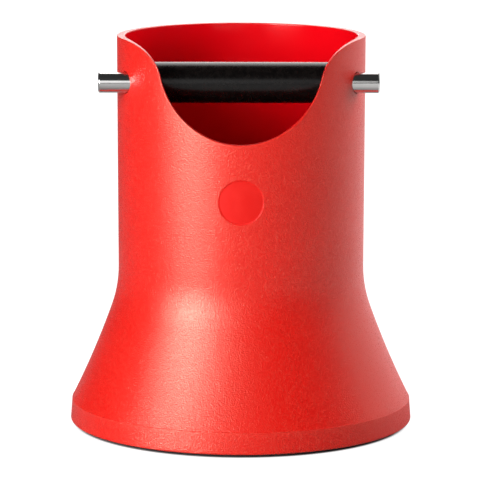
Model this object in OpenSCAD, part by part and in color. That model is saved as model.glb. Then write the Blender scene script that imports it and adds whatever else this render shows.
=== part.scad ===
// Counter-top knock box for spent espresso pucks: a flared plastic tub with a scooped front,
// crossed near its rim by a steel bar in a rubber sleeve, and closed below by a floor that
// stands on a rubber ring.
//
// Millimetres, +Z up. The origin is on the counter, under the middle of the tub. The scoop
// faces -Y, and the knock bar lies along X.

/* [Tub] */
// Height of the rim above the counter
rim_h = 189.8; // [180:0.1:200]
// Outside diameter of the rim
rim_d = 120; // [119.6:0.1:124]
// Outside diameter of the cup where the flare begins
neck_d = 119.4; // [116:0.1:119.6]
// Height above the counter at which the flare begins
neck_h = 77.3; // [74:0.1:80]
// Thickness of the wall
wall = 3.8; // [3:0.1:4.5]
// Width of the rounding on the rim's two edges
rim_round = 0.8; // [0.3:0.1:1.2]

/* [Flare] */
// Outside diameter across the bottom edge
base_d = 166.9; // [165:0.1:175]
// Height of the upright band round the base
band_tall = 10.5; // [9:0.1:14]
// Amount by which the band narrows from its bottom edge to its top, on the radius
band_lean = 0.8; // [0.4:0.1:1.5]
// Radius of the tight bend below the cup
bend_r = 58.8; // [50:0.1:65]
// Angle through which the tight bend turns before the long curve takes over
bend_turn = 19.6; // [14:0.1:20.5]

/* [Scoop] */
// Radius of the scoop's round bottom
scoop_r = 39; // [34:0.5:42]
// Depth of the scoop below the rim
scoop_deep = 45.8; // [38:0.1:52]
// Radius of the shoulders that lead from the rim into the scoop
shoulder_r = 20; // [14:0.5:21]

/* [Knock bar] */
// Diameter of the steel bar
bar_d = 10; // [8:0.5:12]
// Length of the steel bar
bar_long = 134; // [128:1:150]
// Distance of the bar's middle from the middle of the tub, since it floats endways
bar_offset = -1.1; // [-4:0.1:4]
// Depth of the bar's axis below the rim
bar_below_rim = 20.5; // [18:0.5:26]
// Distance of the bar's axis in front of the middle of the tub
bar_forward = 23; // [16:0.5:26]
// Outside diameter of the rubber sleeve
sleeve_d = 19.5; // [16:0.5:24]
// Length of the rubber sleeve
sleeve_long = 90; // [70:1:94]

/* [Base] */
// Height of the bottom edge of the tub above the counter, which the rubber ring sets
foot_proud = 1.5; // [1:0.1:3]
// Outside diameter of the rubber ring
foot_d = 159.2; // [156:0.1:160]
// Width of the rubber ring's tread
foot_wide = 5.2; // [4:0.1:8]
// Thickness of the floor's plate
floor_thick = 2.6; // [2:0.1:4]
// Number of ribs under the floor
rib_count = 8; // [4:1:12]

/* [Badge] */
// Diameter of the plain round dimple on the front
dimple_d = 21; // [16:0.5:26]
// Depth of the dimple
dimple_deep = 0.3; // [0.2:0.1:0.8]
// Height of the dimple's middle above the counter
dimple_h = 116.9; // [100:0.1:125]

/* [Hidden] */

$fn = 192;
over = 5; // how far a cutting shape runs past the face that it cuts
lap = 1; // how far shapes that join, or that cut together, run into each other
bite = 0.01; // how far one arc cuts across the next face or arc, where they would only graze

rim_r = rim_d / 2;
neck_r = neck_d / 2;
base_r = base_d / 2;

// Base band, with a fine step where the flare lands on it.
band_h = foot_proud + band_tall;
band_top_r = base_r - band_lean;
band_step = 0.15;
band_round = 0.8;

// The flare is two hollow arcs whose centres lie outside the tub. The tight bend leaves the
// cup straight down, and the long curve runs on from its end, without a corner, to the band.
bend_centre = [neck_r + bend_r, neck_h];
bend_normal = [cos(bend_turn), sin(bend_turn)];
bend_end = bend_centre - bend_r * bend_normal;
flare_end = [band_top_r - band_step, band_h];
flare_chord = flare_end - bend_end;
flare_r = flare_chord * flare_chord / (2 * flare_chord * bend_normal);
flare_centre = bend_end + flare_r * bend_normal;

// Socket in the tub's underside. The floor's plate seats against the ledge at its top.
socket_wall = 3.2;
ledge_drop = 1.5; // depth of the ledge below the top of the band
socket_r = base_r - socket_wall;
socket_top = band_h - ledge_drop;
floor_gap = 0.2;

// Scoop. The shoulders rise a little past the rim so that they cross it, and overlap the
// round bottom by the bite.
shoulder_rise = 0.05;
scoop_h = rim_h - scoop_deep + scoop_r;
shoulder_h = rim_h - shoulder_r + shoulder_rise;
shoulder_x = sqrt(pow(scoop_r + shoulder_r - bite, 2) - pow(scoop_h - shoulder_h, 2));

// Bar and its holes.
bar_h = rim_h - bar_below_rim;
bar_chamfer = 0.6;
hole_gap = 0.25;
sleeve_gap = 0.05;
sleeve_round = 1.2;

// Rubber ring, and the rib of the floor that it is stretched over.
foot_r = foot_d / 2;
foot_round = 0.7;
foot_gap = 0.05;
rib_wide = 2;
rib_lift = 1.5; // height of the ribs' lower edges above the tub's bottom edge
rib_low = foot_proud + rib_lift;
hub_r = 12;
plate_low = socket_top - floor_thick;
hoop_r = foot_r - foot_wide - foot_gap;

// Carries a shape drawn about Z over to the axis of the bar, which runs along X.
module on_bar_axis() {
    translate([0, -bar_forward, bar_h]) rotate([0, 90, 0]) children();
}

// Tube or disc about Z between two heights.
module ring(outer, inner, low, high) {
    translate([0, 0, low]) difference() {
        cylinder(r = outer, h = high - low);
        if (inner > 0) translate([0, 0, -over]) cylinder(r = inner, h = high - low + 2 * over);
    }
}

// Radius of the cup's outer face at a height.
function cup_r(height) = neck_r + (rim_r - neck_r) * (height - neck_h) / (rim_h - neck_h);

// What a rounding of this radius takes off a corner, with the corner at the origin and the
// material on its left and below.
module corner_waste(round) {
    translate([bite - round, bite - round]) difference() {
        square(2 * round);
        circle(round);
    }
}

// Half outline of the cup and its flare above one height, set in from the outer face. The
// long curve's circle only counts below the end of the tight bend.
module flared_outline(inset, low) {
    turn_h = neck_h - (bend_r + inset) * sin(bend_turn);
    difference() {
        polygon([
            [0, low], [base_r, low], [base_r, neck_h],
            [neck_r - inset, neck_h], [rim_r - inset, rim_h], [0, rim_h]
        ]);
        translate(bend_centre) circle(bend_r + inset + bite);
        intersection() {
            translate(flare_centre) circle(flare_r + inset);
            translate([0, low - over]) square([base_r + over, turn_h - low + over]);
        }
    }
}

// Half outline of the base band, with its bottom edge rounded.
module band_outline() {
    difference() {
        polygon([[0, foot_proud], [base_r, foot_proud], [band_top_r, band_h], [0, band_h]]);
        translate([base_r - band_round * band_lean / band_tall, foot_proud])
            mirror([0, 1]) corner_waste(band_round);
    }
}

// Upright section through the tub's wall.
module wall_section() {
    difference() {
        union() {
            flared_outline(0, band_h);
            band_outline();
        }
        flared_outline(wall, socket_top - lap);
        translate([0, foot_proud - over]) square([socket_r, socket_top - foot_proud + over]);
        translate([rim_r, rim_h]) corner_waste(rim_round);
        translate([cup_r(rim_h - rim_round) - wall, rim_h]) mirror([1, 0]) corner_waste(rim_round);
    }
}

// Front view of the scoop: a round bottom and two shoulders that meet it without a corner.
module scoop_outline() {
    difference() {
        polygon([
            [0, scoop_h], [shoulder_x, shoulder_h], [shoulder_x, rim_h + over],
            [-shoulder_x, rim_h + over], [-shoulder_x, shoulder_h]
        ]);
        for (side = [-1, 1]) translate([side * shoulder_x, shoulder_h]) circle(shoulder_r);
    }
    translate([0, scoop_h]) circle(scoop_r);
}

// Shallow round dimple, whose floor follows the curve of the front.
module dimple() {
    intersection() {
        translate([0, 0, dimple_h]) rotate([90, 0, 0]) cylinder(d = dimple_d, h = rim_r + over);
        ring(rim_r + over, cup_r(dimple_h) - dimple_deep, dimple_h - dimple_d, dimple_h + dimple_d);
    }
}

module tub_shell() {
    color([0.93, 0.15, 0.11]) difference() {
        rotate_extrude() wall_section();
        rotate([90, 0, 0]) linear_extrude(rim_r + over) scoop_outline();
        on_bar_axis() cylinder(d = bar_d + 2 * hole_gap, h = 2 * (rim_r + over), center = true);
        dimple();
    }
}

module floor_pan() {
    color([0.80, 0.12, 0.09]) union() {
        ring(socket_r - floor_gap, 0, plate_low, socket_top);
        ring(hoop_r, hoop_r - rib_wide, rib_low, plate_low + lap);
        ring(hub_r, hub_r - rib_wide, rib_low, plate_low + lap);
        for (i = [0 : rib_count - 1]) rotate([0, 0, i * 360 / rib_count])
            translate([hub_r - rib_wide / 2, -rib_wide / 2, rib_low])
                cube([hoop_r - hub_r, rib_wide, plate_low - rib_low + lap]);
    }
}

module foot_ring() {
    inner = foot_r - foot_wide;
    color([0.07, 0.07, 0.07]) rotate_extrude() {
        translate([inner, foot_round]) square([foot_wide, plate_low - foot_round]);
        translate([inner + foot_round, 0]) square([foot_wide - 2 * foot_round, 2 * foot_round]);
        for (middle = [inner + foot_round, foot_r - foot_round])
            translate([middle, foot_round]) circle(foot_round);
    }
}

module knock_bar() {
    bar_r = bar_d / 2;
    half = bar_long / 2;
    color([0.78, 0.78, 0.80]) translate([bar_offset, 0, 0]) on_bar_axis() rotate_extrude()
        polygon([
            [0, -half], [bar_r - bar_chamfer, -half], [bar_r, bar_chamfer - half],
            [bar_r, half - bar_chamfer], [bar_r - bar_chamfer, half], [0, half]
        ]);
}

module bar_sleeve() {
    color([0.08, 0.07, 0.07]) on_bar_axis() rotate_extrude() difference() {
        translate([bar_d / 2 + sleeve_gap, -sleeve_long / 2])
            square([(sleeve_d - bar_d) / 2 - sleeve_gap, sleeve_long]);
        translate([sleeve_d / 2, sleeve_long / 2]) corner_waste(sleeve_round);
        translate([sleeve_d / 2, -sleeve_long / 2]) mirror([0, 1]) corner_waste(sleeve_round);
    }
}

tub_shell();
floor_pan();
foot_ring();
knock_bar();
bar_sleeve();
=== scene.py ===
import math

import bmesh
import bpy
import numpy as np
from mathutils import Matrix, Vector


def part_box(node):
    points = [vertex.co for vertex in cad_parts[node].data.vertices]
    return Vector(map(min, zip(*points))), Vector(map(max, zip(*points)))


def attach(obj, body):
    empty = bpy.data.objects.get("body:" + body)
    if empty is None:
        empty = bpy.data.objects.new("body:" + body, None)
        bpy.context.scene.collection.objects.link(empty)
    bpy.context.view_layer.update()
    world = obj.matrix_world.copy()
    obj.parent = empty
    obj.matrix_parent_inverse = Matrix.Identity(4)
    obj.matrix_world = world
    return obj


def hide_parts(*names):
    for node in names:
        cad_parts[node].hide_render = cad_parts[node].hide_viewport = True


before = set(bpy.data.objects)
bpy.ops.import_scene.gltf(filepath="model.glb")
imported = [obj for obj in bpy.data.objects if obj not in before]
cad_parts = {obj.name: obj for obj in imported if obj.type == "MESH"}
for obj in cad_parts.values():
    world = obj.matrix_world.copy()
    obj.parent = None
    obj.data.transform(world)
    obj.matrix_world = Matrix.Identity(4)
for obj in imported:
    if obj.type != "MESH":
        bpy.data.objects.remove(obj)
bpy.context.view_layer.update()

# Looks for a counter-top knock box. Everything is in metres, in the frame of the CAD model:
# +Z up, the origin on the counter under the middle of the tub, the scoop facing -Y and the
# knock bar along X. Angles round the tub are measured from the front, towards +X.

MM = 0.001

tub_low, tub_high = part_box("tub_shell")
bar_low, bar_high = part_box("knock_bar")
sleeve_low, sleeve_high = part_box("bar_sleeve")
foot_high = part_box("foot_ring")[1]

# Tub: the driving dimensions of its section.
RIM_H = tub_high.z
BOTTOM_H = tub_low.z
RIM_R = 60 * MM
NECK_R = 59.7 * MM
NECK_H = 77.3 * MM
WALL = 3.8 * MM
BASE_R = 83.45 * MM
BAND_TALL = 10.5 * MM
BAND_LEAN = 0.8 * MM
BAND_STEP = 0.15 * MM
BAND_ROUND = 0.8 * MM
BEND_R = 58.8 * MM
BEND_TURN = math.radians(19.6)
SOCKET_R = BASE_R - 3.2 * MM
SOCKET_TOP = BOTTOM_H + 9 * MM

# Scoop: a round bottom, and two shoulders that carry it up to the rim.
SCOOP_R = 39 * MM
SCOOP_DEEP = 45.8 * MM
SHOULDER_R = 20 * MM
SHOULDER_RISE = 0.05 * MM

# Width of the rounding along the rim, the scoop and the holes.
EDGE_ROUND = 0.6 * MM
HOLE_ROUND = 0.35 * MM

# Plain round dimple on the front. Its floor is reached by a slope of the step's width.
DIMPLE_R = 10.5 * MM
DIMPLE_DEEP = 0.3 * MM
DIMPLE_H = 116.9 * MM
DIMPLE_STEP = 1.1 * MM

# Bar, its holes, its sleeve and the rubber ring under the tub.
BAR_R = (bar_high.z - bar_low.z) / 2
BAR_Y = (bar_high.y + bar_low.y) / 2
BAR_H = (bar_high.z + bar_low.z) / 2
BAR_CHAMFER = 0.6 * MM
HOLE_R = BAR_R + 0.25 * MM
SLEEVE_R = (sleeve_high.z - sleeve_low.z) / 2
SLEEVE_BORE_R = BAR_R + 0.05 * MM
SLEEVE_ROUND = 1.2 * MM
FOOT_WIDE = 5.2 * MM
FOOT_ROUND = 0.7 * MM

# Values that follow from the dimensions above.
BAND_H = BOTTOM_H + BAND_TALL
BEND_X = NECK_R + BEND_R
BEND_END = Vector((BEND_X - BEND_R * math.cos(BEND_TURN), NECK_H - BEND_R * math.sin(BEND_TURN)))
FLARE_END = Vector((BASE_R - BAND_LEAN - BAND_STEP, BAND_H))
FLARE_NORMAL = Vector((math.cos(BEND_TURN), math.sin(BEND_TURN)))
FLARE_CHORD = FLARE_END - BEND_END
FLARE_R = FLARE_CHORD.length_squared / (2 * FLARE_CHORD.dot(FLARE_NORMAL))
FLARE_CENTRE = BEND_END + FLARE_R * FLARE_NORMAL
SCOOP_Z = RIM_H - SCOOP_DEEP + SCOOP_R
SHOULDER_Z = RIM_H - SHOULDER_R + SHOULDER_RISE
SHOULDER_X = math.sqrt((SCOOP_R + SHOULDER_R) ** 2 - (SCOOP_Z - SHOULDER_Z) ** 2)
SCOOP_JOIN_X = SHOULDER_X * SCOOP_R / (SCOOP_R + SHOULDER_R)
SCOOP_END_X = SHOULDER_X - math.sqrt(SHOULDER_R ** 2 - (RIM_H - SHOULDER_Z) ** 2)

# How finely the tub's wall is meshed. The columns are picked from a finer track along the top
# edge. Above SPLIT_H the rows follow the scoop. Below it the columns spread out until they are
# even at EVEN_H.
COLUMNS = 320
TRACK_STEPS = 400
SPLIT_H = 134 * MM
EVEN_H = 60 * MM
UPPER_ROWS = 20
ROW_TALL = 3 * MM
FACE_ROWS = 3
ROUND_STEPS = (0.25, 0.5, 0.75)

# Windows cut in the wall's mesh round a hole and round the dimple, as columns and rows, and the
# number of steps in which a window's outline turns into a circle.
HOLE_WINDOW = (20, 6)
DIMPLE_WINDOW = (20, 10)
WINDOW_STEPS = 4
DIMPLE_SLOPE_STEPS = 6
DIMPLE_FLOOR_RINGS = (0.85, 0.68, 0.5, 0.32, 0.15)

# Finishes on the tub, in the order of its material slots.
GRAINED, POLISHED, BADGE, TRIMMED = range(4)


# Shapes that the pieces share.

def wall_radius(height, inset=0.0):
    """Radius of the tub's outer face at a height, or of the surface that lies inset inside it."""
    if height >= NECK_H:
        share = (height - NECK_H) / (RIM_H - NECK_H)
        return NECK_R + (RIM_R - NECK_R) * share - inset
    if height >= NECK_H - (BEND_R + inset) * math.sin(BEND_TURN):
        return BEND_X - math.sqrt((BEND_R + inset) ** 2 - (height - NECK_H) ** 2)
    return FLARE_CENTRE.x - math.sqrt((FLARE_R + inset) ** 2 - (height - FLARE_CENTRE.y) ** 2)


def scoop_height(x):
    """Height of the tub's top edge in front view, at a distance from the middle."""
    x = abs(x)
    if x < SCOOP_JOIN_X:
        return SCOOP_Z - math.sqrt(SCOOP_R ** 2 - x ** 2)
    if x < SCOOP_END_X:
        return SHOULDER_Z + math.sqrt(SHOULDER_R ** 2 - (x - SHOULDER_X) ** 2)
    return RIM_H


def scoop_normal(x, height):
    """Upward normal of the scoop's cut face, or of the flat rim."""
    if height > RIM_H - 0.001 * MM:
        return Vector((0, 0, 1))
    if abs(x) < SCOOP_JOIN_X:
        return Vector((-x, 0, SCOOP_Z - height)).normalized()
    return Vector((x - math.copysign(SHOULDER_X, x), 0, height - SHOULDER_Z)).normalized()


def round_z(radius, angle, along):
    """Place on a surface of revolution about Z."""
    return Vector((radius * math.sin(angle), -radius * math.cos(angle), along))


def round_bar(radius, angle, along):
    """Place on a surface of revolution about the bar."""
    return Vector((along, BAR_Y + radius * math.cos(angle), BAR_H + radius * math.sin(angle)))


def curve_point(first, corner, last, share):
    """Point on the smooth curve that rounds a corner off."""
    return first * (1 - share) ** 2 + corner * (2 * share * (1 - share)) + last * share ** 2


def soften(corners):
    """Rounds the corners of a section. Each corner is (radius, along, width of its rounding), and
    the result is a list of (radius, along, wear), where wear is 1 in the middle of a rounding."""
    points = []
    for i, (radius, along, width) in enumerate(corners):
        here = Vector((radius, along))
        if width == 0:
            points.append((radius, along, 0.0))
            continue
        before = Vector(corners[i - 1][:2])
        after = Vector(corners[(i + 1) % len(corners)][:2])
        first = here + (before - here).normalized() * width
        last = here + (after - here).normalized() * width
        for share in (0.0, *ROUND_STEPS, 1.0):
            spot = curve_point(first, here, last, share)
            points.append((spot.x, spot.y, 1 - abs(2 * share - 1)))
    return points


def heights(low, high, step):
    """Even steps between two heights, both ends left out."""
    count = max(1, round(abs(high - low) / step))
    return [low + (high - low) * k / count for k in range(1, count)]


def make_piece(name, vertices, faces, wear, materials, finishes=None):
    """Turns points and faces into a smooth-shaded object with a wear attribute."""
    mesh = bpy.data.meshes.new(name)
    mesh.from_pydata([tuple(v) for v in vertices], [], faces)
    for material in materials:
        mesh.materials.append(material)
    if finishes:
        mesh.polygons.foreach_set("material_index", finishes)
    attribute = mesh.attributes.new("wear", "FLOAT", "POINT")
    attribute.data.foreach_set("value", wear)
    mesh.polygons.foreach_set("use_smooth", [True] * len(faces))
    tidy = bmesh.new()
    tidy.from_mesh(mesh)
    loose = [v for v in tidy.verts if not v.link_faces]
    bmesh.ops.delete(tidy, geom=loose, context="VERTS")
    bmesh.ops.recalc_face_normals(tidy, faces=tidy.faces)
    tidy.to_mesh(mesh)
    tidy.free()
    piece = bpy.data.objects.new(name, mesh)
    bpy.context.scene.collection.objects.link(piece)
    even = piece.modifiers.new("Even shading", "WEIGHTED_NORMAL")
    even.weight = 50
    return piece


def lathe(name, section, place, turns, material):
    """Revolves a section. A section that begins and ends on the axis closes there in two
    points, and any other is a closed loop."""
    vertices, wear, rows, faces = [], [], [], []
    for radius, along, worn in section:
        count = 1 if radius == 0 else turns
        rows.append([len(vertices) + k % count for k in range(turns)])
        for k in range(count):
            vertices.append(place(radius, 2 * math.pi * k / turns, along))
            wear.append(worn)
    pairs = list(zip(rows, rows[1:]))
    if section[0][0] > 0:
        pairs.append((rows[-1], rows[0]))
    for low, high in pairs:
        for k in range(turns):
            corners = [low[k], low[(k + 1) % turns], high[(k + 1) % turns], high[k]]
            faces.append(list(dict.fromkeys(corners)))
    return make_piece(name, vertices, faces, wear, [material])


# Tub.

def half_columns():
    """Where the wall's columns stand from the middle of the front to the middle of the back:
    (angle on the outer face, angle on the inner face, height of the edge). Across the scoop,
    the two faces' columns share their distance from the middle, as the straight cut does."""
    track = []
    bottom_turn = math.asin(SCOOP_JOIN_X / SCOOP_R)
    shoulder_from = math.acos((SCOOP_JOIN_X - SHOULDER_X) / SHOULDER_R)
    shoulder_to = math.acos((SCOOP_END_X - SHOULDER_X) / SHOULDER_R)
    for k in range(TRACK_STEPS):
        turn = bottom_turn * k / TRACK_STEPS
        track.append((SCOOP_R * math.sin(turn), SCOOP_Z - SCOOP_R * math.cos(turn)))
    for k in range(TRACK_STEPS + 1):
        turn = shoulder_from + (shoulder_to - shoulder_from) * k / TRACK_STEPS
        x = SHOULDER_X + SHOULDER_R * math.cos(turn)
        track.append((x, SHOULDER_Z + SHOULDER_R * math.sin(turn)))
    columns = [
        (math.asin(x / wall_radius(z)), math.asin(x / wall_radius(z, WALL)), z) for x, z in track
    ]
    outer, inner, _ = columns[-1]
    for k in range(1, TRACK_STEPS + 1):
        share = k / TRACK_STEPS
        angles = [start + (math.pi - start) * share for start in (outer, inner)]
        columns.append((*angles, RIM_H))
    return even_columns(np.array(columns))


def even_columns(columns):
    """Picks columns at even distances along the edge, by the longer of its two faces."""
    length = [0.0]
    for before, after in zip(columns, columns[1:]):
        steps = [
            (round_z(RIM_R, after[side], after[2]) - round_z(RIM_R, before[side], before[2])).length
            for side in (0, 1)
        ]
        length.append(length[-1] + max(steps))
    wanted = np.linspace(0, length[-1], COLUMNS // 2 + 1)
    return np.stack([np.interp(wanted, length, columns[:, k]) for k in range(3)], axis=1)


def full_turn(half, column):
    """Mirrors one value of the half columns into a full turn. Angles carry on past the back."""
    first = list(half[:, column])
    rest = first[-2:0:-1]
    if column < 2:
        rest = [2 * math.pi - angle for angle in rest]
    return first + rest


def edge_of(angles, tops, inset):
    """Edge between one face of the wall and the cut face: for each column, its corner, its
    end on the wall and its end on the cut face."""
    corners = [round_z(wall_radius(z, inset), angle, z) for angle, z in zip(angles, tops)]
    edge = []
    for k, corner in enumerate(corners):
        along = (corners[(k + 1) % COLUMNS] - corners[k - 1]).normalized()
        outward = round_z(1, angles[k], 0)
        across = scoop_normal(corner.x, tops[k]).cross(along)
        if inset:
            across = -across
        on_wall = corner + along.cross(outward) * EDGE_ROUND
        on_face = corner + across * EDGE_ROUND
        if tops[k] < RIM_H:
            on_face.z = scoop_height(on_face.x)
        edge.append((on_wall, corner, on_face))
    return edge


def upper_rows(angles, edge, inset):
    """Rows of one face of the wall, from SPLIT_H up to its edge."""
    rows = []
    for step in range(UPPER_ROWS + 1):
        share = step / UPPER_ROWS
        row = []
        for k in range(COLUMNS):
            spot = edge[k][0]
            top_angle = math.atan2(spot.x, -spot.y) % (2 * math.pi)
            start = angles[k]
            if top_angle - start > math.pi:
                top_angle -= 2 * math.pi
            height = SPLIT_H + (spot.z - SPLIT_H) * share
            angle = start + (top_angle - start) * share
            row.append(round_z(wall_radius(height, inset), angle, height))
        rows.append(row)
    return rows


def lower_row(angles, radius, height):
    """Level row below SPLIT_H, on columns that even out towards the base."""
    share = min(1.0, max(0.0, (SPLIT_H - height) / (SPLIT_H - EVEN_H)))
    share = share * share * (3 - 2 * share)
    row = []
    for k, angle in enumerate(angles):
        even = 2 * math.pi * k / COLUMNS
        row.append(round_z(radius, angle + (even - angle) * share, height))
    return row


def outer_section():
    """Section of the tub's outside from its bottom edge up to SPLIT_H, as (radius, height, wear)."""
    low_r = BASE_R - BAND_ROUND * BAND_LEAN / BAND_TALL
    top_r = BASE_R - BAND_LEAN
    fine = 0.05 * MM
    round_steps = 5
    section = []
    for k in range(round_steps + 1):
        share = k / round_steps
        turn = math.radians(90 * (share - 1))
        radius = low_r - BAND_ROUND + BAND_ROUND * math.cos(turn)
        height = BOTTOM_H + BAND_ROUND + BAND_ROUND * math.sin(turn)
        section.append((radius, height, 1 - abs(2 * share - 1)))
    for height in heights(BOTTOM_H + BAND_ROUND, BAND_H, ROW_TALL):
        section.append((BASE_R - BAND_LEAN * (height - BOTTOM_H) / BAND_TALL, height, 0.0))
    section.append((top_r + fine, BAND_H - 3 * fine, 0.3))
    section.append((top_r, BAND_H - fine, 1.0))
    section.append((top_r - fine, BAND_H, 0.6))
    section.append((FLARE_END.x, BAND_H + fine / 2, 0.0))
    section.append((wall_radius(BAND_H + 3 * fine), BAND_H + 3 * fine, 0.0))
    for height in heights(BAND_H, SPLIT_H, ROW_TALL):
        section.append((wall_radius(height), height, 0.0))
    return section


def inner_section():
    """Section of the tub's inside from SPLIT_H down to the ledge over the floor, then out and
    down the socket to the bottom edge."""
    section = []
    for height in heights(SPLIT_H, SOCKET_TOP, ROW_TALL):
        section.append((wall_radius(height, WALL), height, 0.0))
    ledge_r = wall_radius(SOCKET_TOP, WALL)
    small = 0.25 * MM
    foot = [
        (ledge_r - small, SOCKET_TOP + 2 * small, 0),
        (ledge_r, SOCKET_TOP, small),
        (SOCKET_R, SOCKET_TOP, small),
        (SOCKET_R, BOTTOM_H, small),
        (BASE_R - 2 * BAND_ROUND, BOTTOM_H, 0),
    ]
    return section + soften(foot)[1:]


def window_loop(low_row, high_row, first, last):
    """Vertices round a window in the tub's grid, from its lower left corner and anticlockwise
    as seen from outside."""
    step = 1 if high_row > low_row else -1
    rows = list(range(low_row, high_row + step, step))
    columns = list(range(first, last + 1))
    loop = [(rows[0], c) for c in columns[:-1]]
    loop += [(r, columns[-1]) for r in rows[:-1]]
    loop += [(rows[-1], c) for c in columns[:0:-1]]
    loop += [(r, columns[0]) for r in rows[:0:-1]]
    return [r * COLUMNS + c % COLUMNS for r, c in loop]


def wall_place(spot):
    """Angle round the tub and height of a place on its wall."""
    return math.atan2(spot.x, -spot.y), spot.z


def ring_turns(wide, tall):
    """Directions from a window's middle for the vertices of window_loop, spread evenly."""
    count = 2 * (wide + tall)
    return [math.radians(-90 + 360 * (k - wide / 2) / count) for k in range(count)]


class Tub:
    """The tub's mesh while it is being made."""

    def __init__(self):
        half = half_columns()
        tops = full_turn(half, 2)
        self.angles = {0: full_turn(half, 0), WALL: full_turn(half, 1)}
        edges = {inset: edge_of(self.angles[inset], tops, inset) for inset in (0, WALL)}
        self.points, self.wear, self.row_finish = [], [], []
        self.faces, self.finishes, self.cut = [], [], set()
        for radius, height, worn in outer_section():
            self.add_row(lower_row(self.angles[0], radius, height), worn, GRAINED)
        self.split_row = len(self.row_finish)
        for row in upper_rows(self.angles[0], edges[0], 0):
            self.add_row(row, 0.0, GRAINED)
        self.add_top(edges)
        self.inner_top_row = len(self.row_finish)
        for row in reversed(upper_rows(self.angles[WALL], edges[WALL], WALL)):
            self.add_row(row, 0.0, POLISHED)
        for radius, height, worn in inner_section():
            self.add_row(lower_row(self.angles[WALL], radius, height), worn, POLISHED)

    def add_row(self, row, worn, finish):
        """Adds one full turn of vertices. The faces between it and the next row take its finish."""
        self.points += row
        self.wear += [worn] * len(row)
        self.row_finish.append(finish)

    def add_top(self, edges):
        """Rounded outer edge, cut face and rounded inner edge."""
        for share in ROUND_STEPS:
            row = [curve_point(*spots, share) for spots in edges[0]]
            self.add_row(row, 1 - abs(2 * share - 1), GRAINED)
        for step in range(FACE_ROWS + 1):
            share = step / FACE_ROWS
            row = []
            for outer, inner in zip(edges[0], edges[WALL]):
                spot = outer[2].lerp(inner[2], share)
                if outer[1].z < RIM_H:
                    spot.z = scoop_height(spot.x)
                row.append(spot)
            self.add_row(row, 0.0, TRIMMED)
        for share in reversed(ROUND_STEPS):
            row = [curve_point(*spots, share) for spots in edges[WALL]]
            self.add_row(row, 1 - abs(2 * share - 1), POLISHED)

    def nearest(self, place, rows):
        """Row and column of the grid's vertex nearest to a place, among some rows."""
        found = min(
            ((self.points[r * COLUMNS + c] - place).length, r, c)
            for r in rows for c in range(COLUMNS)
        )
        return found[1], found[2]

    def open_window(self, place, rows, up, wide, tall):
        """Cuts a window of wide by tall cells round a place, and returns its loop. up is 1
        where the rows climb and -1 where they go down."""
        row, column = self.nearest(place, rows)
        reach = up * (tall // 2)
        low, high = row - reach, row + reach
        first = column - wide // 2
        for r in range(min(low, high), max(low, high)):
            for c in range(first, first + wide):
                self.cut.add((r, c % COLUMNS))
        return window_loop(low, high, first, first + wide)

    def add_ring(self, places, worn):
        """Adds vertices in or round a window, and returns their numbers."""
        start = len(self.points)
        self.points += places
        self.wear += [worn] * len(places)
        return list(range(start, start + len(places)))

    def bridge(self, ring, following, finish):
        """Joins two rings of vertices with faces, and returns the second."""
        for k in range(len(ring)):
            after = (k + 1) % len(ring)
            self.faces.append((ring[k], ring[after], following[after], following[k]))
            self.finishes.append(finish)
        return following

    def blend_rings(self, loop, circle, inset):
        """Rings on the wall that turn from a window's outline into a circle."""
        rings = []
        for step in range(1, WINDOW_STEPS):
            share = step / WINDOW_STEPS
            places = []
            for vertex, goal in zip(loop, circle):
                from_angle, from_height = wall_place(self.points[vertex])
                to_angle, to_height = wall_place(goal)
                angle = from_angle + (to_angle - from_angle) * share
                height = from_height + (to_height - from_height) * share
                places.append(round_z(wall_radius(height, inset), angle, height))
            rings.append(places)
        return rings

    def hole(self, side):
        """One of the two holes for the bar, on side 1 or -1."""
        turns = ring_turns(*HOLE_WINDOW)

        def circle(radius, inset):
            places = []
            for turn in turns:
                y = BAR_Y + side * radius * math.cos(turn)
                z = BAR_H + radius * math.sin(turn)
                x = side * math.sqrt(wall_radius(z, inset) ** 2 - y ** 2)
                places.append(Vector((x, y, z)))
            return places

        chain = []
        for inset in (0, WALL):
            across = math.sqrt(wall_radius(BAR_H, inset) ** 2 - BAR_Y ** 2)
            middle = Vector((side * across, BAR_Y, BAR_H))
            if inset:
                rows, up = range(self.inner_top_row, self.inner_top_row + UPPER_ROWS), -1
            else:
                rows, up = range(self.split_row, self.split_row + UPPER_ROWS), 1
            loop = self.open_window(middle, rows, up, *HOLE_WINDOW)
            into = Vector((side if inset else -side, 0, 0)) * HOLE_ROUND
            wall_end = circle(HOLE_R + HOLE_ROUND, inset)
            corner = circle(HOLE_R, inset)
            rings = [(places, 0.0) for places in self.blend_rings(loop, wall_end, inset)]
            rings.append((wall_end, 0.0))
            for share in ROUND_STEPS:
                places = [curve_point(a, b, b + into, share) for a, b in zip(wall_end, corner)]
                rings.append((places, 1 - abs(2 * share - 1)))
            rings.append(([b + into for b in corner], 0.0))
            chain.append((loop, rings))
        (outer_loop, outer_rings), (inner_loop, inner_rings) = chain
        ring = outer_loop
        for places, worn in outer_rings:
            ring = self.bridge(ring, self.add_ring(places, worn), GRAINED)
        for places, worn in reversed(inner_rings):
            ring = self.bridge(ring, self.add_ring(places, worn), POLISHED)
        self.bridge(ring, inner_loop, POLISHED)

    def dimple(self):
        """Shallow round dimple with a smooth floor."""
        turns = ring_turns(*DIMPLE_WINDOW)

        def circle(radius, depth):
            places = []
            for turn in turns:
                height = DIMPLE_H + radius * math.sin(turn)
                level = wall_radius(height)
                angle = math.asin(radius * math.cos(turn) / level)
                places.append(round_z(level - depth, angle, height))
            return places

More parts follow.
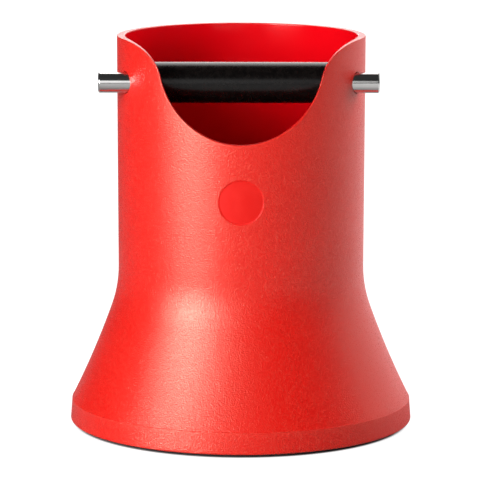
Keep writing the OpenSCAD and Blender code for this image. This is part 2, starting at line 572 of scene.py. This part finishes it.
        middle = Vector((0, -wall_radius(DIMPLE_H), DIMPLE_H))
        loop = self.open_window(middle, range(self.split_row), 1, *DIMPLE_WINDOW)
        ring = loop
        step_outer = DIMPLE_R + DIMPLE_STEP / 2
        for places in self.blend_rings(loop, circle(step_outer, 0), 0):
            ring = self.bridge(ring, self.add_ring(places, 0.0), GRAINED)
        for k in range(DIMPLE_SLOPE_STEPS + 1):
            share = k / DIMPLE_SLOPE_STEPS
            depth = DIMPLE_DEEP * share * share * (3 - 2 * share)
            places = circle(step_outer - DIMPLE_STEP * share, depth)
            ring = self.bridge(ring, self.add_ring(places, 0.0), GRAINED if share < 0.5 else BADGE)
        inner_r = DIMPLE_R - DIMPLE_STEP / 2
        for share in DIMPLE_FLOOR_RINGS:
            ring = self.bridge(ring, self.add_ring(circle(inner_r * share, DIMPLE_DEEP), 0.0), BADGE)
        middle.y += DIMPLE_DEEP
        centre = self.add_ring([middle], 0.0)[0]
        for k in range(len(ring)):
            self.faces.append((ring[k], ring[(k + 1) % len(ring)], centre))
            self.finishes.append(BADGE)

    def finish(self, name, materials):
        """Joins the rows with faces, apart from the windows, and makes the piece."""
        rows = len(self.row_finish)
        for r in range(rows):
            for c in range(COLUMNS):
                if (r, c) in self.cut:
                    continue
                low, high = r * COLUMNS, (r + 1) % rows * COLUMNS
                after = (c + 1) % COLUMNS
                self.faces.append((low + c, low + after, high + after, high + c))
                self.finishes.append(self.row_finish[r])
        return make_piece(name, self.points, self.faces, self.wear, materials, self.finishes)


# Materials.

class Paint:
    """Node tree of one material, with the few nodes that the finishes here are made of."""

    def __init__(self, name, colour, roughness, **settings):
        self.material = bpy.data.materials.new(name)
        self.material.use_nodes = True
        self.tree = self.material.node_tree
        self.shader = self.tree.nodes["Principled BSDF"]
        self.shader.inputs["Base Color"].default_value = (*colour, 1)
        self.shader.inputs["Roughness"].default_value = roughness
        for socket, value in settings.items():
            self.shader.inputs[socket.replace("_", " ")].default_value = value
        self.coords = self.tree.nodes.new("ShaderNodeTexCoord").outputs["Object"]

    def noise(self, scale, detail=2.0, stretch=None):
        """Noise from 0 to 1. stretch gives the scale along each axis, for streaks."""
        node = self.tree.nodes.new("ShaderNodeTexNoise")
        node.inputs["Scale"].default_value = scale
        node.inputs["Detail"].default_value = detail
        source = self.coords
        if stretch:
            mapping = self.tree.nodes.new("ShaderNodeMapping")
            mapping.inputs["Scale"].default_value = stretch
            self.tree.links.new(source, mapping.inputs["Vector"])
            source = mapping.outputs["Vector"]
        self.tree.links.new(source, node.inputs["Vector"])
        return node.outputs["Fac"]

    def fit(self, value, low, high, to_low, to_high):
        """Maps a value from one range to another."""
        node = self.tree.nodes.new("ShaderNodeMapRange")
        ends = {"From Min": low, "From Max": high, "To Min": to_low, "To Max": to_high}
        for socket, number in ends.items():
            node.inputs[socket].default_value = number
        self.tree.links.new(value, node.inputs["Value"])
        return node.outputs["Result"]

    def maths(self, operation, first, second):
        """One operation on two values, each a number or another node's value."""
        node = self.tree.nodes.new("ShaderNodeMath")
        node.operation = operation
        for socket, value in zip(node.inputs, (first, second)):
            if isinstance(value, (int, float)):
                socket.default_value = value
            else:
                self.tree.links.new(value, socket)
        return node.outputs["Value"]

    def mix(self, share, first, second):
        """Blends two colours, each a tuple or another node's colour."""
        node = self.tree.nodes.new("ShaderNodeMix")
        node.data_type = "RGBA"
        self.tree.links.new(share, node.inputs["Factor"])
        for socket, value in ((node.inputs[6], first), (node.inputs[7], second)):
            if isinstance(value, tuple):
                socket.default_value = (*value, 1)
            else:
                self.tree.links.new(value, socket)
        return node.outputs[2]

    def shades(self, pattern, first, second, low=0.3, high=0.7):
        """Turns from one colour to another as a pattern goes from low to high."""
        return self.mix(self.fit(pattern, low, high, 0, 1), first, second)

    def worn(self, colour, share, rubbed):
        """Lets a rubbed colour show, up to a share, where the mesh says that it is worn. Noise
        breaks the wear up."""
        stored = self.tree.nodes.new("ShaderNodeAttribute")
        stored.attribute_name = "wear"
        patchy = self.fit(self.noise(180, 3), 0.35, 0.65, 0.25, 1.0)
        wear = self.maths("MULTIPLY", stored.outputs["Fac"], patchy)
        return self.mix(self.fit(wear, 0, 1, 0, share), colour, rubbed)

    def bumps(self, *layers):
        """Adds bump layers, each (height, strength, distance)."""
        normal = None
        for height, strength, distance in layers:
            node = self.tree.nodes.new("ShaderNodeBump")
            node.inputs["Strength"].default_value = strength
            node.inputs["Distance"].default_value = distance
            self.tree.links.new(height, node.inputs["Height"])
            if normal:
                self.tree.links.new(normal, node.inputs["Normal"])
            normal = node.outputs["Normal"]
        self.tree.links.new(normal, self.shader.inputs["Normal"])

    def link(self, value, socket):
        """Connects a value or colour to one of the shader's sockets."""
        self.tree.links.new(value, self.shader.inputs[socket])


def grained_plastic():
    """Red plastic with the fine spark-eroded grain of the tub's outside."""
    paint = Paint("tub_grained", (0.74, 0.007, 0.0045), 0.34, Specular_IOR_Level=0.7)
    paint.shader.inputs["Specular Tint"].default_value = (1.0, 0.92, 0.72, 1)
    grain = paint.noise(1700, 1)
    coarse = paint.noise(900, 1)
    cloud = paint.noise(22, 3)
    colour = paint.shades(cloud, (0.71, 0.0014, 0.0008), (0.77, 0.0026, 0.0014))
    colour = paint.shades(grain, colour, (0.82, 0.042, 0.026), 0.48, 0.66)
    colour = paint.worn(colour, 0.45, (0.95, 0.09, 0.06))
    paint.link(colour, "Base Color")
    paint.link(paint.fit(grain, 0.3, 0.7, 0.43, 0.22), "Roughness")
    paint.bumps((coarse, 0.2, 0.08 * MM), (grain, 1.0, 0.17 * MM))
    return paint.material


def polished_plastic():
    """Smooth glossy red of the tub's inside."""
    paint = Paint("tub_polished", (0.76, 0.0015, 0.005), 0.12, Specular_IOR_Level=0.35)
    cloud = paint.noise(16, 3)
    swirl = paint.noise(60, 2, (1, 1, 0.35))
    colour = paint.shades(cloud, (0.73, 0.001, 0.005), (0.79, 0.002, 0.007))
    colour = paint.worn(colour, 0.3, (0.90, 0.08, 0.05))
    paint.link(colour, "Base Color")
    paint.link(paint.fit(cloud, 0.3, 0.7, 0.10, 0.20), "Roughness")
    paint.bumps((swirl, 0.10, 0.15 * MM), (paint.noise(900, 2), 0.05, 0.03 * MM))
    return paint.material


def badge_plastic():
    """Satin red of the dimple's floor."""
    paint = Paint("tub_satin", (0.78, 0.010, 0.006), 0.3, Specular_IOR_Level=0.25)
    cloud = paint.noise(120, 3)
    paint.link(paint.shades(cloud, (0.76, 0.008, 0.005), (0.80, 0.014, 0.009)), "Base Color")
    paint.link(paint.fit(cloud, 0.3, 0.7, 0.30, 0.38), "Roughness")
    paint.bumps((paint.noise(1800, 2), 0.08, 0.02 * MM))
    return paint.material


def trimmed_plastic():
    """Smooth satin red of the rim's flat face."""
    paint = Paint("tub_trimmed", (0.76, 0.004, 0.005), 0.36, Specular_IOR_Level=0.35)
    cloud = paint.noise(90, 3)
    paint.link(paint.shades(cloud, (0.72, 0.003, 0.004), (0.80, 0.006, 0.007)), "Base Color")
    paint.link(paint.fit(cloud, 0.3, 0.7, 0.32, 0.40), "Roughness")
    paint.bumps((paint.noise(1400, 2), 0.1, 0.03 * MM))
    return paint.material


def floor_plastic():
    """Satin red of the floor pan, with faint flow marks."""
    paint = Paint("floor_satin", (0.62, 0.008, 0.006), 0.4)
    flow = paint.noise(40, 4)
    paint.link(paint.shades(flow, (0.58, 0.006, 0.005), (0.66, 0.010, 0.008)), "Base Color")
    paint.link(paint.fit(flow, 0.3, 0.7, 0.34, 0.48), "Roughness")
    paint.bumps((paint.noise(900, 3), 0.2, 0.03 * MM))
    return paint.material


def sleeve_rubber():
    """Black rubber of the sleeve: a soft mottled sheen and rubbed ends."""
    paint = Paint("sleeve_rubber", (0.003, 0.002, 0.002), 0.3, Specular_IOR_Level=0.32)
    mottle = paint.noise(420, 3)
    fine = paint.noise(1600, 2)
    colour = paint.shades(mottle, (0.002, 0.0015, 0.0015), (0.005, 0.0035, 0.003), 0.35)
    colour = paint.worn(colour, 0.6, (0.06, 0.05, 0.05))
    paint.link(colour, "Base Color")
    paint.link(paint.fit(mottle, 0.3, 0.7, 0.23, 0.30), "Roughness")
    paint.bumps((mottle, 0.05, 0.05 * MM), (fine, 0.25, 0.04 * MM))
    return paint.material


def foot_rubber():
    """Matt black rubber of the foot ring."""
    paint = Paint("foot_rubber", (0.012, 0.012, 0.012), 0.75)
    fine = paint.noise(900, 4)
    dust = paint.noise(140, 3)
    colour = paint.shades(dust, (0.010, 0.010, 0.010), (0.035, 0.033, 0.032), 0.4, 0.75)
    colour = paint.worn(colour, 0.5, (0.07, 0.065, 0.06))
    paint.link(colour, "Base Color")
    paint.link(paint.fit(dust, 0.3, 0.7, 0.68, 0.85), "Roughness")
    paint.bumps((fine, 0.4, 0.05 * MM))
    return paint.material


def drawn_steel():
    """Bright drawn stainless steel, with fine streaks along the bar."""
    paint = Paint("drawn_steel", (0.72, 0.71, 0.69), 0.2, Metallic=1.0)
    streaks = paint.noise(1, 3, (25, 2600, 2600))
    broad = paint.noise(1, 2, (12, 700, 700))
    colour = paint.shades(streaks, (0.62, 0.61, 0.60), (0.80, 0.79, 0.78), 0.35)
    colour = paint.worn(colour, 0.5, (0.88, 0.88, 0.88))
    paint.link(colour, "Base Color")
    paint.link(paint.fit(broad, 0.3, 0.7, 0.11, 0.19), "Roughness")
    paint.bumps((streaks, 0.12, 0.012 * MM))
    return paint.material


# Pieces.

def make_tub():
    """The tub's shell, with a fine mesh that follows its curves."""
    tub = Tub()
    tub.dimple()
    for side in (1, -1):
        tub.hole(side)
    finishes = [grained_plastic(), polished_plastic(), badge_plastic(), trimmed_plastic()]
    piece = tub.finish("tub", finishes)
    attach(piece, "tub")
    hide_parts("tub_shell")


def make_sleeve():
    """The rubber sleeve, with round outer corners and eased bore ends."""
    left, right = sleeve_low.x, sleeve_high.x
    small = 0.4 * MM
    corners = [
        (SLEEVE_R, left, SLEEVE_ROUND), (SLEEVE_R, right, SLEEVE_ROUND),
        (SLEEVE_BORE_R, right, small), (SLEEVE_BORE_R, left, small),
    ]
    piece = lathe("sleeve", soften(corners), round_bar, 160, sleeve_rubber())
    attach(piece, "sleeve")
    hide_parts("bar_sleeve")


def make_bar():
    """The steel bar, with softened chamfers at its ends."""
    left, right = bar_low.x, bar_high.x
    face_r = BAR_R - BAR_CHAMFER
    soft = 0.2 * MM
    corners = [
        (0, left, 0), (face_r, left, soft), (BAR_R, left + BAR_CHAMFER, soft),
        (BAR_R, right - BAR_CHAMFER, soft), (face_r, right, soft), (0, right, 0),
    ]
    piece = lathe("bar", soften(corners), round_bar, 128, drawn_steel())
    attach(piece, "bar")
    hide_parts("knock_bar")


def make_foot():
    """The rubber ring, with its tread's edges rounded."""
    outer = foot_high.x
    inner = outer - FOOT_WIDE
    small = 0.2 * MM
    corners = [
        (inner, foot_high.z, small), (inner, 0, FOOT_ROUND),
        (outer, 0, FOOT_ROUND), (outer, foot_high.z, small),
    ]
    piece = lathe("foot", soften(corners), round_z, 256, foot_rubber())
    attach(piece, "tub")
    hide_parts("foot_ring")


def dress_floor():
    """The floor pan keeps its CAD mesh, with its edges eased."""
    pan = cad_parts["floor_pan"]
    pan.data.materials.clear()
    pan.data.materials.append(floor_plastic())
    ease = pan.modifiers.new("Eased edges", "BEVEL")
    ease.width = 0.3 * MM
    ease.segments = 2
    ease.limit_method = "ANGLE"
    ease.angle_limit = math.radians(40)


# Studio.

# The camera stands in front of the scoop, a little left of the middle, and looks slightly down.
CAMERA_X = -0.49 * MM
CAMERA_AWAY = 1528.2 * MM
CAMERA_H = 348.6 * MM
AIM_H = 89.3 * MM
CAMERA_ROLL = math.radians(0.09)
SENSOR_MM = 36
LENS_MM = 238.4

# Surroundings, as seen in reflections: a bright lobe round one azimuth, which fades between two
# heights on the unit sphere, and a dim remainder.
BRIGHT_AZIMUTH = 135
BRIGHT_FOCUS = 2.5
BRIGHT_SIDE = 0.9
FADE_FROM = 0.35
FADE_TO = 0.85
OVERHEAD = 0.12
DIM_SIDE = 0.035

# Floor: how bright it is to the camera, and how bright it gets in reflections. In reflections it shows a
# painted pool of light that grows across the floor towards +X, and painted shade that dims it near the
# tub, out to the reach set below.
FLOOR_GREY = 0.28
FLOOR_WHITE = 0.92
FLOOR_HALF = 4.0
PAINTED_FLOOR_GLOW = 0.6
PAINTED_GLOW_HALF = 0.25
PAINTED_SHADE_REACH = 0.28


def make_camera():
    """Camera at the height and distance that the object is seen from."""
    data = bpy.data.cameras.new("camera")
    camera = bpy.data.objects.new("camera", data)
    bpy.context.scene.collection.objects.link(camera)
    place = Vector((CAMERA_X, -CAMERA_AWAY, CAMERA_H))
    target = Vector((CAMERA_X, 0, AIM_H))
    data.lens = LENS_MM
    data.sensor_width = SENSOR_MM
    data.clip_end = 20
    camera.location = place
    camera.rotation_euler = (target - place).to_track_quat("-Z", "Y").to_euler()
    camera.rotation_euler.rotate_axis("Z", CAMERA_ROLL)
    bpy.context.scene.camera = camera


def softbox(name, azimuth, elevation, distance, wide, tall, strength, colour=(1, 1, 1)):
    """Soft area light aimed at the middle of the object, and hidden from the camera. Azimuth 0
    is in front of the scoop and 90 on the +X side. Its face is as bright as strength says,
    whatever its size."""
    data = bpy.data.lights.new(name, "AREA")
    data.shape = "RECTANGLE"
    data.size = wide
    data.size_y = tall
    data.energy = strength * wide * tall * math.pi
    data.color = colour
    light = bpy.data.objects.new(name, data)
    bpy.context.scene.collection.objects.link(light)
    around = math.radians(azimuth)
    above = math.radians(elevation)
    level = math.cos(above)
    away = Vector((math.sin(around) * level, -math.cos(around) * level, math.sin(above)))
    light.location = Vector((0, 0, RIM_H / 2)) + away * distance
    light.rotation_euler = away.to_track_quat("Z", "Y").to_euler()
    light.visible_camera = False
    return light


def make_world():
    """Surroundings that are dim in front and overhead and bright low down on the right behind the
    object. The camera sees a white backdrop instead."""
    world = bpy.data.worlds.new("studio")
    bpy.context.scene.world = world
    world.use_nodes = True
    tree = world.node_tree
    tree.nodes.clear()

    def node(kind, *inputs):
        """Adds a node, and fills its first inputs with numbers or with other nodes' outputs."""
        made = tree.nodes.new(kind)
        for socket, value in zip(made.inputs, inputs):
            if isinstance(value, bpy.types.NodeSocket):
                tree.links.new(value, socket)
            else:
                socket.default_value = value
        return made

    def maths(operation, first, second):
        made = node("ShaderNodeMath", first, second)
        made.operation = operation
        return made.outputs["Value"]

    white = (1, 1, 1, 1)
    bright_at = math.radians(BRIGHT_AZIMUTH)
    bright_way = (math.sin(bright_at), -math.cos(bright_at), 0)
    direction = node("ShaderNodeTexCoord").outputs["Generated"]
    toward = node("ShaderNodeVectorMath", direction, bright_way)
    toward.operation = "DOT_PRODUCT"
    facing = maths("POWER", maths("MAXIMUM", toward.outputs["Value"], 0.0), BRIGHT_FOCUS)
    height = node("ShaderNodeSeparateXYZ", direction).outputs["Z"]
    overhead = node("ShaderNodeMapRange", height, FADE_FROM, FADE_TO, 1.0, OVERHEAD)
    lobe = maths("MULTIPLY", maths("MULTIPLY", facing, BRIGHT_SIDE), overhead.outputs["Result"])
    around = node("ShaderNodeBackground", white, maths("ADD", lobe, DIM_SIDE))
    seen = node("ShaderNodeBackground", white, 1.0)
    path = node("ShaderNodeLightPath").outputs["Is Camera Ray"]
    mix = node("ShaderNodeMixShader", path, around.outputs[0], seen.outputs[0])
    node("ShaderNodeOutputWorld", mix.outputs[0])


def floor_paint():
    """Pale matt floor, as white as the backdrop to the camera. In reflections it glows with painted light
    that is brighter on the right, and painted shade dims it towards the object. It doesn't glow under the
    tub."""
    paint = Paint("studio_floor", (FLOOR_GREY, FLOOR_GREY, FLOOR_GREY), 0.9, Specular_IOR_Level=0.1)
    path = paint.tree.nodes.new("ShaderNodeLightPath").outputs
    across = paint.tree.nodes.new("ShaderNodeSeparateXYZ")
    paint.tree.links.new(paint.coords, across.inputs["Vector"])
    away = paint.tree.nodes.new("ShaderNodeVectorMath")
    away.operation = "LENGTH"
    paint.tree.links.new(paint.coords, away.inputs[0])
    radius = away.outputs["Value"]
    open_floor = paint.fit(radius, BASE_R - 3 * MM, BASE_R - 1 * MM, 0, FLOOR_WHITE)
    # Painted light on the floor, seen only in reflections: brighter towards +X, and dimmed by painted
    # shade near the tub.
    side = paint.fit(across.outputs["X"], -PAINTED_GLOW_HALF, PAINTED_GLOW_HALF, 0.0, PAINTED_FLOOR_GLOW)
    painted_shade_near_tub = paint.fit(radius, BASE_R, PAINTED_SHADE_REACH, 0.1, 1)
    painted_glow = paint.maths("MULTIPLY", paint.maths("MULTIPLY", side, painted_shade_near_tub), path["Is Glossy Ray"])
    seen = paint.maths("MULTIPLY", open_floor, path["Is Camera Ray"])
    paint.link(paint.maths("ADD", painted_glow, seen), "Emission Strength")
    paint.shader.inputs["Emission Color"].default_value = (1, 1, 1, 1)
    return paint.material


def make_floor():
    """Large level floor, a hair below the rubber ring."""
    mesh = bpy.data.meshes.new("studio_floor")
    corners = [(x * FLOOR_HALF, y * FLOOR_HALF, 0) for x, y in ((-1, -1), (1, -1), (1, 1), (-1, 1))]
    mesh.from_pydata(corners, [], [(0, 1, 2, 3)])
    mesh.materials.append(floor_paint())
    floor = bpy.data.objects.new("studio_floor", mesh)
    floor.location.z = -0.05 * MM
    bpy.context.scene.collection.objects.link(floor)


def light_studio():
    """Five boxes. The key lights the front, and the glint, from much the same side, makes the
    highlights on it. The fill lights the right side without showing in it. The front and back
    boxes are weak, and show in the steel and along the rim."""
    key = softbox("key", azimuth=-40, elevation=18, distance=1.5, wide=0.95, tall=0.90, strength=11)
    key.visible_glossy = False
    glint = softbox("glint", azimuth=-46, elevation=12.5, distance=1.5, wide=0.80, tall=0.76, strength=16)
    glint.visible_diffuse = False
    fill = softbox("fill", azimuth=118, elevation=22, distance=1.0, wide=0.8, tall=0.6, strength=5.8)
    fill.visible_glossy = False
    softbox("front", azimuth=-17, elevation=14, distance=1.8, wide=1.3, tall=0.8, strength=1.2)
    softbox(
        "back", azimuth=180, elevation=34, distance=2.2, wide=1.1, tall=2.4, strength=2.5,
        colour=(1.0, 0.95, 0.93),
    )
    bpy.context.scene.view_settings.view_transform = "Standard"


make_camera()
make_world()
make_floor()
light_studio()
make_tub()
make_sleeve()
make_bar()
make_foot()
dress_floor()
